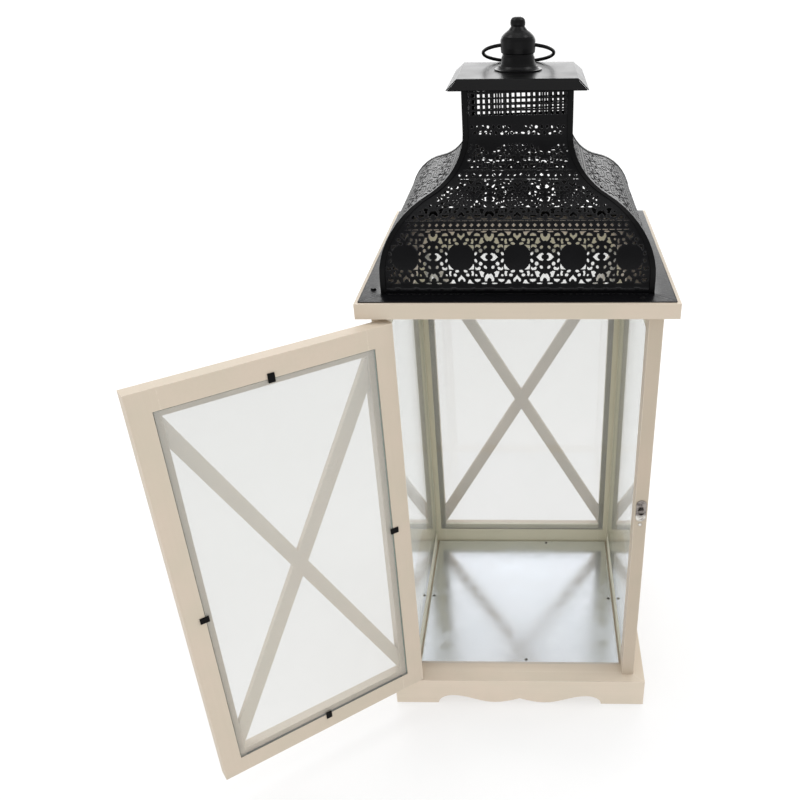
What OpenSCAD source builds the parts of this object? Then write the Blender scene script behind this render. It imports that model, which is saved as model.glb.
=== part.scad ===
// Candle lantern: a glazed wooden case on a scalloped plinth, with a hinged front door and a
// pierced sheet-metal roof that ends in a chimney, a cap and a finial with a loose carrying ring.
// Origin: centre of the plinth, on the floor. +Z is up and the front faces -Y.

/* [Case] */
// Width and depth of the top board and of the plinth
board_w = 305; // [285:1:340]
// How far the top board and the plinth stand out past the case
overhang = 13; // [10:1:20]
// Thickness of the top board
board_t = 15; // [10:1:20]
// Width of the square opening in the top board
board_opening = 215; // [160:1:235]
// Height of the plinth
plinth_h = 38; // [32:1:60]
// Thickness of a plinth board
plinth_t = 16; // [12:1:22]
// Thickness of the base board let in between the plinth boards
base_t = 12; // [8:1:18]
// Height of the case between the plinth and the top board
case_h = 474; // [400:1:560]

/* [Plinth outline] */
// Length of a foot at each end of a plinth board
foot_w = 52; // [40:1:60]
// Height of the arch beside each foot
arch_h = 13; // [8:0.5:18]
// Run of the arch from the foot to its highest point
arch_run = 18; // [10:1:24]
// Height of the two low points of the outline
valley_h = 1.7; // [1:0.1:4]
// Distance of each low point from the middle
valley_x = 31; // [20:1:45]
// Height of the pointed notch in the middle
cusp_h = 8.5; // [5:0.5:14]

/* [Frames] */
// Thickness of the side, back and door frames
frame_t = 14; // [12:0.5:18]
// Width of an upright
stile_w = 27; // [22:1:34]
// Width of a cross rail of the side and back frames
rail_w = 30; // [22:1:40]
// Width of a cross rail of the door
door_rail_w = 28; // [22:1:40]
// Width of a crossed slat
slat_w = 14.5; // [10:0.5:18]
// Thickness of a crossed slat
slat_t = 6; // [4:0.5:7]
// How far the slats sit back from the outer face
slat_inset = 1; // [0.5:0.5:2.5]

/* [Glass] */
// Thickness of a pane
glass_t = 3; // [2:0.5:4]
// How far a pane laps over the wood
glass_lap = 7; // [4:0.5:9]
// How far a pane sits below the inner face of its frame
glass_inset = 0.3; // [0.1:0.1:1]
// Gap beside and above a pane in its rebate
glass_gap = 0.5; // [0.3:0.1:1]
// Length of a door clip across the edge of the glass
clip_l = 9; // [7:0.5:12]
// Width of a door clip
clip_w = 6.5; // [4:0.5:9]
// Thickness of a door clip
clip_t = 1.2; // [0.8:0.1:1.6]
// How far the clip on the door's free side sits below the middle
clip_drop = 14; // [0:1:60]

/* [Door] */
// Angle at which the door stands open, from closed
door_open = 143; // [90:1:175]
// Gap between the door and the post on its hinge side
door_gap = 2; // [1.5:0.1:3]
// Gap between the door and the post on its free side
free_gap = 2.5; // [1.5:0.1:4]
// Gap below the door
gap_below = 2; // [1:0.5:4]
// Gap above the door
gap_above = 4; // [1:0.5:6]

/* [Hinges] */
// Height of a hinge leaf
hinge_h = 30; // [24:1:45]
// Width of a hinge leaf
leaf_w = 11; // [8:0.5:12]
// Radius of a hinge knuckle
knuckle_r = 2.2; // [2:0.1:2.6]
// Radius of a hinge pin
hinge_pin_r = 1; // [0.8:0.1:1.2]
// How far the hinge pins stand in front of the case
pin_out = 0.2; // [0.1:0.1:1]
// Distance of the hinge pins from the inner face of their post
pin_side = 0.5; // [0.3:0.1:1]
// Distance of each hinge's middle from the nearer end of the door
hinge_end = 60; // [40:1:90]

/* [Latch] */
// Height of the latch above the floor
latch_z = 284; // [200:1:330]
// Length of a latch plate
plate_l = 27; // [22:1:34]
// Width of a latch plate
plate_w = 11; // [9:0.5:12]
// Thickness of a latch plate
plate_t = 1; // [0.8:0.1:1.5]
// Radius of the peg and of the hook's pivot
peg_r = 2; // [1.5:0.1:2.4]
// Thickness of the hook
hook_t = 1.5; // [1:0.1:2]
// Distance of the lone screw in the right post below the keeper's end
lone_screw_drop = 4.9; // [4:0.1:8]

/* [Tray] */
// Height of the metal tray
tray_h = 3; // [2:0.5:5]
// Gap between the tray and the frames round it
tray_gap = 2.5; // [2:0.5:6]
// Thickness of the tray sheet
tray_t = 0.8; // [0.5:0.1:1.2]

/* [Roof] */
// Thickness of the roof sheet
sheet_t = 1; // [0.8:0.1:1.4]
// Bare edge of the top board outside the roof flange
flange_margin = 3.5; // [2:0.5:6]
// Width of the bell at its foot
bell_w = 258; // [244:1:270]
// Height of the upright foot of the bell
bell_foot_h = 17; // [10:1:30]
// Radius of the bell's outward curve
bell_r = 69; // [60:1:80]
// Radius of the inward curve below the chimney
neck_r = 53; // [45:1:65]
// Width of the chimney
chimney_w = 103; // [90:1:116]
// Height of the straight part of the chimney
chimney_h = 48; // [36:1:70]
// Width of a corner seam on each side of its corner
seam_w = 5; // [4:0.5:8]
// Thickness of a corner seam
seam_t = 0.8; // [0.5:0.1:1.2]

/* [Piercing] */
// Distance between the square holes in the chimney
grid_pitch = 5.5; // [5:0.1:8]
// Width of a square hole in the chimney
grid_hole = 3.7; // [2.5:0.1:4.2]
// Distance between the solid discs round the foot of the bell
disc_pitch = 52; // [44:1:53]
// Radius of a solid disc
disc_r = 10.5; // [8:0.5:12]
// Radius of the round holes that ring each disc
ring_hole_r = 2.6; // [1.5:0.1:3]

/* [Cap and finial] */
// Width of the flat top of the cap
cap_w = 112; // [106:1:125]
// How far each flap of the cap reaches out
flap_out = 9.5; // [5:0.5:14]
// How far each flap of the cap hangs down
flap_drop = 8.5; // [5:0.5:14]
// Radius of the finial's foot
foot_r = 23; // [19:0.5:27]
// Height of the finial's foot
foot_h = 12; // [9:0.5:16]
// Greatest radius of the hollow bulb
bulb_r = 16.8; // [16:0.1:20]
// Height of the hollow bulb
bulb_h = 25; // [23:0.5:29]
// Wall of the hollow bulb
bulb_wall = 1.5; // [1:0.1:2]
// Radius of the knob
knob_r = 7.2; // [6:0.1:9]
// Height of the knob
knob_h = 9.5; // [9:0.5:14]
// Radius of the carrying ring to the middle of its wire
ring_r = 35; // [31:0.5:42]
// Radius of the ring's wire
wire_r = 1.65; // [1.2:0.05:2]
// Radius of the two holes that the ring passes through
eye_r = 3.3; // [3:0.1:3.6]

/* [Hidden] */
$fn = 48;
cream = [0.84, 0.79, 0.72];
pale_glass = [0.82, 0.88, 0.86, 0.4];
zinc = [0.72, 0.76, 0.8];
nickel = [0.7, 0.68, 0.66];
black = [0.08, 0.08, 0.09];

// A cut runs this far past the face that it opens
past = 1;
// Play between a screw and its hole
screw_play = 0.05;
// Distance between the end of a slat and the rail beside it
slat_end_gap = 0.5;
// Play between a turning piece and its pin
turn_play = 0.06;

board_half = board_w / 2;
case_half = board_half - overhang;
inner_half = case_half - frame_t;
case_top = plinth_h + case_h;
roof_z = case_top + board_t;

// The back frame stands between the side frames, so its uprights lose the thickness of these
back_w = 2 * inner_half;
back_stile_w = stile_w - frame_t;
rebate_t = glass_t + glass_inset;

// Door, as it stands when closed
door_x = -inner_half + door_gap;
door_w = back_w - door_gap - free_gap;
door_z = plinth_h + gap_below;
door_h = case_h - gap_below - gap_above;
pin_x = -inner_half + pin_side;
pin_y = -case_half - pin_out;
hinge_zs = [door_z + hinge_end, door_z + door_h - hinge_end];
leaf_t = door_gap / 2 - 0.1;
knuckle_gap = 0.3;
screw_r = 1.1;
screw_head_r = 2.1;
screw_l = 9;
lone_head_r = 2.3;
lone_head_top_r = 1.3;
lone_head_t = 0.9;
hinge_screw_dz = hinge_h / 2 - 6;
plate_screw_dz = plate_l / 2 - 4;

// Latch: the peg stands on the right post and the hook turns on the door
peg_x = case_half - frame_t / 2;
hook_x = door_x + door_w - stile_w / 2;
hook_reach = peg_x - hook_x;
peg_neck = hook_t + 0.6;
peg_head_r = peg_r + 1.2;
peg_head_t = 1;
hook_w = 2 * peg_r + 3;

// Roof profile: a half-width for each height, made of two arcs with a common tangent
flange_half = board_half - flange_margin;
bell_half = bell_w / 2;
chimney_half = chimney_w / 2;
arc_turn = acos(1 - (bell_half - chimney_half) / (bell_r + neck_r));
bell_z = roof_z + sheet_t + bell_foot_h;
neck_z = bell_z + (bell_r + neck_r) * sin(arc_turn);
chimney_top = neck_z + chimney_h;
arc_steps = 10;
roof_screw_r = 1.5;
roof_screw_head_r = 3;
roof_screw_l = 10;
roof_screw_at = bell_half - 12;

// Cap, finial and ring
cap_z = chimney_top + sheet_t;
cap_half = cap_w / 2;
cap_notch = 2;
stud_r = 2;
bulb_z = cap_z + foot_h;
eye_z = bulb_z + bulb_h * 0.4;
knob_z = bulb_z + bulb_h;
spigot_r = 3;
// How much narrower the top of the finial's foot is than the bulb
collar_in = 1;
ring_back = sqrt(ring_r * ring_r - (bulb_r - bulb_wall / 2) * (bulb_r - bulb_wall / 2));
ring_rest_gap = 0.3;
// Angle of the ring from straight down, lying just clear of the rear edge of the cap
ring_lie = atan(cap_half / (eye_z - cap_z)) + asin((wire_r + ring_rest_gap) / norm([cap_half, eye_z - cap_z]));

// ---- Plinth, base board and tray ----

// Height of the plinth's lower edge at a distance from the middle of a board
function edge_h(x, foot_x) =
    x >= foot_x ? 0
    : x >= foot_x - arch_run ? arch_h * sin(acos((x - foot_x + arch_run) / arch_run))
    : x >= valley_x ? valley_h + (arch_h - valley_h)
        * (0.5 - 0.5 * cos(180 * (x - valley_x) / (foot_x - arch_run - valley_x)))
    : valley_h + (cusp_h - valley_h) * (1 - cos(90 * (valley_x - x) / valley_x));

// Distances from the middle at which the lower edge is drawn, closer together in the arch
function edge_xs(foot_x) = concat(
    [for (i = [0 : 6]) valley_x * i / 6],
    [for (i = [1 : 9]) valley_x + (foot_x - arch_run - valley_x) * i / 9],
    [for (i = [1 : 8]) foot_x - arch_run + arch_run * sin(90 * i / 8)]
);

module plinth_outline() {
    foot_x = board_half - foot_w;
    xs = edge_xs(foot_x);
    last = len(xs) - 1;
    polygon(concat(
        [[-board_half, plinth_h], [-board_half, 0]],
        [for (i = [last : -1 : 1]) [-xs[i], edge_h(xs[i], foot_x)]],
        [for (i = [0 : last]) [xs[i], edge_h(xs[i], foot_x)]],
        [[board_half, 0], [board_half, plinth_h]]
    ));
}

// One plinth board, facing -Y, mitred at both ends
module plinth_board() {
    intersection() {
        translate([0, -board_half + plinth_t, 0])
            rotate([90, 0, 0])
                linear_extrude(height = plinth_t)
                    plinth_outline();
        translate([0, 0, -past])
            linear_extrude(height = plinth_h + 2 * past)
                polygon([[0, 0], [-board_half, -board_half], [board_half, -board_half]]);
    }
}

module plinth_front() color(cream) plinth_board();
module plinth_right() color(cream) rotate([0, 0, 90]) plinth_board();
module plinth_back() color(cream) rotate([0, 0, 180]) plinth_board();
module plinth_left() color(cream) rotate([0, 0, 270]) plinth_board();

module base_board() {
    half = board_half - plinth_t;
    color(cream)
        difference() {
            translate([-half, -half, plinth_h - base_t])
                cube([2 * half, 2 * half, base_t]);
            at_tray_nails()
                nail_hole();
        }
}

// The tray is a shallow pan turned upside down, nailed to the base board through its edges
tray_half = inner_half - tray_gap;
nail_in = 4;
nail_r = 0.9;
nail_head_r = 2;
nail_head_t = 0.8;
nail_l = 8;
nail_side = 8;
nail_back = 36;

module at_tray_nails() {
    reach = tray_half - nail_in;
    for (at = [[nail_side, -reach], [-reach, 0], [reach, -nail_side / 2], [nail_back, reach]])
        translate([at[0], at[1], plinth_h + tray_h])
            children();
}

module nail_hole() {
    translate([0, 0, -nail_l - screw_play])
        cylinder(r = nail_r + screw_play, h = nail_l + past);
}

module tray() {
    color(zinc)
        difference() {
            translate([-tray_half, -tray_half, plinth_h])
                cube([2 * tray_half, 2 * tray_half, tray_h]);
            translate([-tray_half + tray_t, -tray_half + tray_t, plinth_h - past])
                cube([2 * (tray_half - tray_t), 2 * (tray_half - tray_t), tray_h - tray_t + past]);
            at_tray_nails()
                nail_hole();
        }
}

module tray_nails() {
    color(nickel)
        at_tray_nails() {
            translate([0, 0, -nail_l])
                cylinder(r = nail_r, h = nail_l);
            cylinder(r1 = nail_head_r, r2 = nail_head_r * 0.7, h = nail_head_t);
        }
}

// ---- Glazed frames ----
// A frame lies in its own axes: X across it, Z up, and Y from its outer face to its inner face

module rebate(fw, fh, sw, rw) {
    translate([sw - glass_lap, frame_t - rebate_t, rw - glass_lap])
        cube([fw - 2 * (sw - glass_lap), rebate_t + past, fh - 2 * (rw - glass_lap)]);
}

module stile(fw, fh, sw, rw, far = false) {
    difference() {
        translate([far ? fw - sw : 0, 0, 0])
            cube([sw, frame_t, fh]);
        rebate(fw, fh, sw, rw);
    }
}

module rail(fw, fh, sw, rw, top = false) {
    difference() {
        translate([sw, 0, top ? fh - rw : 0])
            cube([fw - 2 * sw, frame_t, rw]);
        rebate(fw, fh, sw, rw);
    }
}

// A straight bar through the middle of the window, tilted so that each end meets an upright
// with the bar's outer edge just short of the window's corner
module slat_bar(win_w, win_h, rising, y, t) {
    diagonal = norm([win_w, win_h]);
    tilt = atan(win_w / win_h) + asin((slat_w + 2 * slat_end_gap) / diagonal);
    rotate([0, rising ? tilt : -tilt, 0])
        translate([-slat_w / 2, y, -diagonal])
            cube([slat_w, t, 2 * diagonal]);
}

// The two slats are halved where they cross, so both lie in one plane
module slat(fw, fh, sw, rw, rising) {
    win_w = fw - 2 * sw;
    win_h = fh - 2 * rw;
    half_t = slat_t / 2;
    translate([fw / 2, 0, fh / 2])
        difference() {
            intersection() {
                slat_bar(win_w, win_h, rising, slat_inset, slat_t);
                translate([-win_w / 2, 0, -win_h / 2])
                    cube([win_w, frame_t, win_h]);
            }
            slat_bar(win_w, win_h, !rising, slat_inset + (rising ? half_t : -past), half_t + past);
        }
}

module pane(fw, fh, sw, rw) {
    side = sw - glass_lap;
    translate([side + glass_gap, frame_t - rebate_t, rw - glass_lap])
        cube([fw - 2 * (side + glass_gap), glass_t, fh - 2 * (rw - glass_lap) - glass_gap]);
}

side_w = 2 * case_half;

// The left frame: its X axis runs from the back to the front
module on_left() {
    translate([-case_half, case_half, plinth_h])
        rotate([0, 0, -90])
            children();
}

module on_right() mirror([1, 0, 0]) on_left() children();

module on_back() {
    translate([inner_half, case_half, plinth_h])
        rotate([0, 0, 180])
            children();
}

// The front stile of a side frame is the door's post, and is cut away round hinges and screws
module front_post() stile(side_w, case_h, stile_w, rail_w, true);

module left_front_stile() {
    color(cream)
        difference() {
            on_left() front_post();
            knuckle_space();
            post_hinge_screws(screw_play);
        }
}

module right_front_stile() {
    color(cream)
        difference() {
            on_right() front_post();
            keeper_screws(screw_play);
            lone_screw(screw_play);
        }
}

module left_rear_stile() color(cream) on_left() stile(side_w, case_h, stile_w, rail_w);
module left_top_rail() color(cream) on_left() rail(side_w, case_h, stile_w, rail_w, true);
module left_bottom_rail() color(cream) on_left() rail(side_w, case_h, stile_w, rail_w);
module left_glass() color(pale_glass) on_left() pane(side_w, case_h, stile_w, rail_w);

module right_rear_stile() color(cream) on_right() stile(side_w, case_h, stile_w, rail_w);
module right_top_rail() color(cream) on_right() rail(side_w, case_h, stile_w, rail_w, true);
module right_bottom_rail() color(cream) on_right() rail(side_w, case_h, stile_w, rail_w);
module right_glass() color(pale_glass) on_right() pane(side_w, case_h, stile_w, rail_w);

module back_right_stile() color(cream) on_back() stile(back_w, case_h, back_stile_w, rail_w);
module back_left_stile() color(cream) on_back() stile(back_w, case_h, back_stile_w, rail_w, true);
module back_top_rail() color(cream) on_back() rail(back_w, case_h, back_stile_w, rail_w, true);
module back_bottom_rail() color(cream) on_back() rail(back_w, case_h, back_stile_w, rail_w);
module back_slat_rising() color(cream) on_back() slat(back_w, case_h, back_stile_w, rail_w, true);
module back_slat_falling() color(cream) on_back() slat(back_w, case_h, back_stile_w, rail_w, false);
module back_glass() color(pale_glass) on_back() pane(back_w, case_h, back_stile_w, rail_w);

module top_board() {
    color(cream)
        difference() {
            translate([-board_half, -board_half, case_top])
                cube([board_w, board_w, board_t]);
            translate([-board_opening / 2, -board_opening / 2, case_top - past])
                cube([board_opening, board_opening, board_t + 2 * past]);
            at_roof_screws()
                roof_screw_hole();
        }
}

// ---- Door ----

// Turns what is drawn for the closed door to where the open door stands
module as_opened() {
    translate([pin_x, pin_y, 0])
        rotate([0, 0, -door_open])
            translate([-pin_x, -pin_y, 0])
                children();
}

module on_door() {
    as_opened()
        translate([door_x, -case_half, door_z])
            children();
}

module door_hinge_stile() {
    color(cream)
        as_opened()
            difference() {
                translate([door_x, -case_half, door_z])
                    stile(door_w, door_h, stile_w, door_rail_w);
                knuckle_space();
                door_hinge_screws(screw_play);
                door_clip_pins(screw_play);
            }
}

module door_free_stile() {
    color(cream)
        as_opened()
            difference() {
                translate([door_x, -case_half, door_z])
                    stile(door_w, door_h, stile_w, door_rail_w, true);
                hook_plate_screws(screw_play);
                door_clip_pins(screw_play);
            }
}

module door_rail(top) {
    color(cream)
        as_opened()
            difference() {
                translate([door_x, -case_half, door_z])
                    rail(door_w, door_h, stile_w, door_rail_w, top);
                door_clip_pins(screw_play);
            }
}

module door_top_rail() door_rail(true);
module door_bottom_rail() door_rail(false);
module door_slat_rising() color(cream) on_door() slat(door_w, door_h, stile_w, door_rail_w, true);
module door_slat_falling() color(cream) on_door() slat(door_w, door_h, stile_w, door_rail_w, false);
module door_glass() color(pale_glass) on_door() pane(door_w, door_h, stile_w, door_rail_w);

// Middles of the four edges of the door's pane, with the direction out to the wood
clip_on_glass = 3.5;
clip_pin_r = 0.8;
clip_pin_l = 6;
clip_turns = [0, 90, 180, 270];

module at_clips() {
    half_w = door_w / 2 - stile_w + glass_lap;
    half_h = door_h / 2 - door_rail_w + glass_lap;
    for (turn = clip_turns)
        translate([door_x + door_w / 2, -case_half + frame_t, door_z + door_h / 2])
            rotate([0, turn, 0])
                translate([turn % 180 == 0 ? half_w : half_h, 0, turn == 0 ? -clip_drop : 0])
                    children();
}

module door_clip_pins(play) {
    at_clips()
        translate([(clip_l - clip_on_glass) / 2, 0, 0])
            rotate([90, 0, 0])
                cylinder(r = clip_pin_r + play, h = clip_pin_l + play);
}

module door_glass_clips() {
    color(black)
        as_opened() {
            at_clips()
                translate([-clip_on_glass, 0, -clip_w / 2])
                    cube([clip_l, clip_t, clip_w]);
            door_clip_pins(0);
        }
}

// ---- Hinges ----
// Each hinge has three knuckles round a pin: the outer two on the post, the middle one on the door

module knuckle_space() {
    for (z = hinge_zs)
        translate([pin_x, pin_y, z - hinge_h / 2 - knuckle_gap])
            cylinder(r = knuckle_r + knuckle_gap, h = hinge_h + 2 * knuckle_gap);
}

module knuckle(z, low, high) {
    translate([pin_x, pin_y, z + low])
        cylinder(r = knuckle_r, h = high - low);
}

// Leaf plate in the gap beside the door, drawn for the closed door
module leaf_plate(z, x) {
    translate([x, pin_y, z - hinge_h / 2])
        cube([leaf_t, leaf_w + pin_out, hinge_h]);
}

third = hinge_h / 6;

module post_leaf(z) {
    color(nickel)
        difference() {
            union() {
                leaf_plate(z, -inner_half);
                knuckle(z, -hinge_h / 2, -third - knuckle_gap / 2);
                knuckle(z, third + knuckle_gap / 2, hinge_h / 2);
            }
            translate([pin_x, pin_y, z - hinge_h / 2 - past])
                cylinder(r = hinge_pin_r, h = hinge_h + 2 * past);
            translate([pin_x, pin_y, z - third - knuckle_gap / 2])
                cylinder(r = knuckle_r + knuckle_gap, h = 2 * third + knuckle_gap);
            post_hinge_screws(screw_play);
        }
}

module door_leaf(z) {
    color(nickel)
        as_opened()
            difference() {
                union() {
                    leaf_plate(z, door_x - leaf_t);
                    knuckle(z, -third + knuckle_gap / 2, third - knuckle_gap / 2);
                }
                translate([pin_x, pin_y, z - hinge_h / 2 - past])
                    cylinder(r = hinge_pin_r + turn_play, h = hinge_h + 2 * past);
                for (low = [-hinge_h / 2 - past, third - knuckle_gap / 2])
                    translate([pin_x, pin_y, z + low])
                        cylinder(r = knuckle_r + knuckle_gap, h = hinge_h / 2 - third + past + knuckle_gap / 2);
                door_hinge_screws(screw_play);
            }
}

module upper_hinge_post_leaf() post_leaf(hinge_zs[1]);
module lower_hinge_post_leaf() post_leaf(hinge_zs[0]);
module upper_hinge_door_leaf() door_leaf(hinge_zs[1]);
module lower_hinge_door_leaf() door_leaf(hinge_zs[0]);

module hinge_pins() {
    color(nickel)
        for (z = hinge_zs)
            translate([pin_x, pin_y, z - hinge_h / 2])
                cylinder(r = hinge_pin_r, h = hinge_h);
}

// ---- Screws ----

// A countersunk screw along +X, its head flush with the plane x = 0
module flat_screw(play, head_depth) {
    rotate([0, 90, 0]) {
        cylinder(r1 = screw_head_r + play, r2 = screw_r + play, h = head_depth);
        cylinder(r = screw_r + play, h = screw_l + play);
    }
}

module at_hinge_screws(x) {
    for (z = hinge_zs)
        for (side = [-1, 1])
            translate([x, pin_y + pin_out + leaf_w * 0.6, z + side * hinge_screw_dz])
                children();
}

module post_hinge_screws(play) {
    at_hinge_screws(-inner_half + leaf_t)
        rotate([0, 0, 180])
            flat_screw(play, leaf_t);
}

module door_hinge_screws(play) {
    at_hinge_screws(door_x - leaf_t)
        flat_screw(play, leaf_t);
}

module plate_screws(x, play) {
    for (side = [-1, 1])
        translate([x, -case_half - plate_t, latch_z + side * plate_screw_dz])
            rotate([0, 0, 90])
                flat_screw(play, plate_t);
}

module keeper_screws(play) plate_screws(peg_x, play);
module hook_plate_screws(play) plate_screws(hook_x, play);

// A low round-headed screw by itself in the right post, a little below the keeper
module lone_screw(play) {
    translate([peg_x, -case_half, latch_z - plate_l / 2 - lone_screw_drop])
        rotate([90, 0, 0]) {
            cylinder(r1 = lone_head_r, r2 = lone_head_top_r, h = lone_head_t);
            translate([0, 0, -screw_l - play])
                cylinder(r = screw_r + play, h = screw_l + play);
        }
}

module post_screws() {
    color(nickel) {
        post_hinge_screws(0);
        keeper_screws(0);
        lone_screw(0);
    }
}

module door_screws() {
    color(nickel)
        as_opened() {
            door_hinge_screws(0);
            hook_plate_screws(0);
        }
}

// ---- Latch ----

// A round-ended plate on the front of the case, with a headed stud of the given neck length
module latch_plate_with_stud(x) {
    end = plate_l / 2 - plate_w / 2;
    translate([x, -case_half, latch_z])
        rotate([90, 0, 0]) {
            for (side = [-1, 1])
                translate([0, side * end, 0])
                    cylinder(r = plate_w / 2, h = plate_t);
            translate([-plate_w / 2, -end, 0])
                cube([plate_w, 2 * end, plate_t]);
            cylinder(r = peg_r, h = plate_t + peg_neck);
            translate([0, 0, plate_t + peg_neck])
                cylinder(r = peg_head_r, h = peg_head_t);
        }
}

module latch_keeper() {
    color(nickel)
        difference() {
            latch_plate_with_stud(peg_x);
            keeper_screws(screw_play);
        }
}

module latch_plate() {
    color(nickel)
        as_opened()
            difference() {
                latch_plate_with_stud(hook_x);
                hook_plate_screws(screw_play);
            }
}

// The hook hangs straight down from its pivot; its mouth opens sideways, towards the hinges
module latch_hook() {
    mouth_r = peg_r + 0.3;
    color(nickel)
        as_opened()
            translate([hook_x, -case_half - plate_t - (peg_neck - hook_t) / 2, latch_z])
                rotate([90, 0, 0])
                    difference() {
                        union() {
                            cylinder(r = hook_w / 2, h = hook_t);
                            translate([-hook_w / 2, -hook_reach, 0])
                                cube([hook_w, hook_reach, hook_t]);
                            translate([0, -hook_reach, 0])
                                cylinder(r = hook_w / 2 + 1, h = hook_t);
                        }
                        translate([0, 0, -past])
                            cylinder(r = peg_r + turn_play, h = hook_t + 2 * past);
                        translate([0, -hook_reach, -past])
                            cylinder(r = mouth_r, h = hook_t + 2 * past);
                        translate([-hook_w, -hook_reach - mouth_r, -past])
                            cube([hook_w, 2 * mouth_r, hook_t + 2 * past]);
                    }
}

// ---- Roof ----
// A roof sheet is drawn facing +X: the first number is the distance from the axis, the second the height

// Points along the two arcs, moved outward from the roof's surface by a distance d
function bell_arc(d) = [for (i = [0 : arc_steps])
    let (a = arc_turn * i / arc_steps)
    [bell_half - bell_r + (bell_r + d) * cos(a), bell_z + (bell_r + d) * sin(a)]];
function neck_arc(d) = [for (i = [1 : arc_steps])
    let (a = arc_turn * (1 - i / arc_steps))
    [chimney_half + neck_r - (neck_r - d) * cos(a), neck_z - (neck_r - d) * sin(a)]];
function roof_curve(d, low, high) = concat(
    [[bell_half + d, low]], bell_arc(d), neck_arc(d), [[chimney_half + d, high]]);
function backwards(list) = [for (i = [len(list) - 1 : -1 : 0]) list[i]];

// Keeps the quarter of a roof piece that faces +X
module facing_quarter() {
    reach = board_half;
    intersection() {
        children();
        linear_extrude(height = cap_z + past)
            polygon([[0, 0], [reach, -reach], [reach, reach]]);
    }
}

module extrude_across(length) {
    rotate([90, 0, 0])
        translate([0, 0, -length / 2])
            linear_extrude(height = length)
                children();
}

module roof_sheet() {
    difference() {
        facing_quarter()
            extrude_across(2 * board_half)
                polygon(concat(
                    [[flange_half, roof_z], [flange_half, roof_z + sheet_t]],
                    roof_curve(0, roof_z + sheet_t, chimney_top),
                    backwards(roof_curve(-sheet_t, roof_z, chimney_top))
                ));
        chimney_grid();
        disc_rings();
        at_roof_screws()
            roof_screw_hole();
    }
}

// Holes through a sheet that faces +X, drawn as they look from outside
module pierced(low_x, high_x) {
    translate([low_x, 0, 0])
        rotate([90, 0, 90])
            linear_extrude(height = high_x - low_x)
                children();
}

// Rows of square holes round the chimney
module chimney_grid() {
    columns = floor((chimney_w - 2 * seam_w - 2) / grid_pitch);
    rows = floor((chimney_h - 20) / grid_pitch);
    pierced(chimney_half - sheet_t - past, chimney_half + past)
        for (column = [0 : columns - 1])
            for (row = [1 : rows])
                translate([(column - (columns - 1) / 2) * grid_pitch, chimney_top - 10 - row * grid_pitch])
                    square(grid_hole, center = true);
}

// A ring of round holes about each solid disc at the foot of the bell
module disc_rings() {
    disc_z = bell_z + 6;
    holes = 8;
    ring = disc_r + ring_hole_r + 1.5;
    pierced(bell_half - sheet_t - 10, bell_half + past)
        for (place = [-2 : 2])
            for (hole = [0 : holes - 1])
                translate([place * disc_pitch, disc_z])
                    rotate(360 * (hole + 0.5) / holes)
                        translate([ring, 0])
                            circle(r = ring_hole_r, $fn = 24);
}

module roof_right() color(black) roof_sheet();
module roof_back() color(black) rotate([0, 0, 90]) roof_sheet();
module roof_left() color(black) rotate([0, 0, 180]) roof_sheet();
module roof_front() color(black) rotate([0, 0, 270]) roof_sheet();

// Half of a corner seam: a band on the outside of the sheet, beside the mitre
module half_seam() {
    reach = board_half;
    start = chimney_half / 2;
    intersection() {
        extrude_across(2 * board_half)
            polygon(concat(
                roof_curve(seam_t, roof_z + sheet_t, chimney_top),
                backwards(roof_curve(0, roof_z + sheet_t, chimney_top))
            ));
        linear_extrude(height = cap_z)
            polygon([[start, start], [reach, reach], [reach, reach - seam_w], [start, start - seam_w]]);
    }
}

module roof_corner_seams() {
    color(black)
        for (turn = [0 : 90 : 270])
            rotate([0, 0, turn]) {
                half_seam();
                mirror([1, -1, 0]) half_seam();
            }
}

// One screw holds each flange strip, near the same end of each
module at_roof_screws() {
    middle = (bell_half + flange_half) / 2;
    for (turn = [0 : 90 : 270])
        rotate([0, 0, turn])
            translate([middle, roof_screw_at, roof_z + sheet_t])
                children();
}

module roof_screw_hole() {
    translate([0, 0, -roof_screw_l - screw_play])
        cylinder(r = roof_screw_r + screw_play, h = roof_screw_l + past);
}

module roof_screws() {
    color(black)
        at_roof_screws() {
            translate([0, 0, -roof_screw_l])
                cylinder(r = roof_screw_r, h = roof_screw_l);
            cylinder(r1 = roof_screw_head_r, r2 = roof_screw_head_r * 0.6, h = 1.6);
        }
}

// ---- Cap and finial ----

// The cap is a flat plate whose four edges are bent down, with a slit at each corner
module chimney_cap() {
    bend = atan(flap_drop / flap_out);
    color(black)
        difference() {
            for (turn = [0 : 90 : 270])
                rotate([0, 0, turn])
                    facing_quarter()
                        extrude_across(2 * board_half)
                            polygon([
                                [0, cap_z], [cap_half, cap_z],
                                [cap_half + flap_out, cap_z - flap_drop],
                                [cap_half + flap_out - sheet_t * sin(bend), cap_z - flap_drop - sheet_t * cos(bend)],
                                [cap_half - sheet_t * tan(bend / 2), cap_z - sheet_t], [0, cap_z - sheet_t]
                            ]);
            for (turn = [45 : 90 : 315])
                rotate([0, 0, turn])
                    translate([cap_half * sqrt(2) + past, -cap_notch / 2, cap_z - flap_drop - 2 * sheet_t])
                        cube([2 * flap_out, cap_notch, flap_drop + 3 * sheet_t]);
            stud_hole();
        }
}

module stud_hole() {
    translate([0, 0, cap_z - 10])
        cylinder(r = stud_r + screw_play, h = 10 + foot_h + bulb_wall + past);
}

// A flared foot: its side is a quarter of an ellipse from the rim to the neck
module finial_foot() {
    rim = 1.2;
    neck = bulb_r - collar_in;
    color(black)
        difference() {
            translate([0, 0, cap_z])
                rotate_extrude()
                    polygon(concat(
                        [[0, 0], [foot_r, 0]],
                        [for (a = [0 : 15 : 90])
                            [foot_r - (foot_r - neck) * sin(a), rim + (foot_h - rim) * (1 - cos(a))]],
                        [[0, foot_h]]
                    ));
            stud_hole();
        }
}

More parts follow.
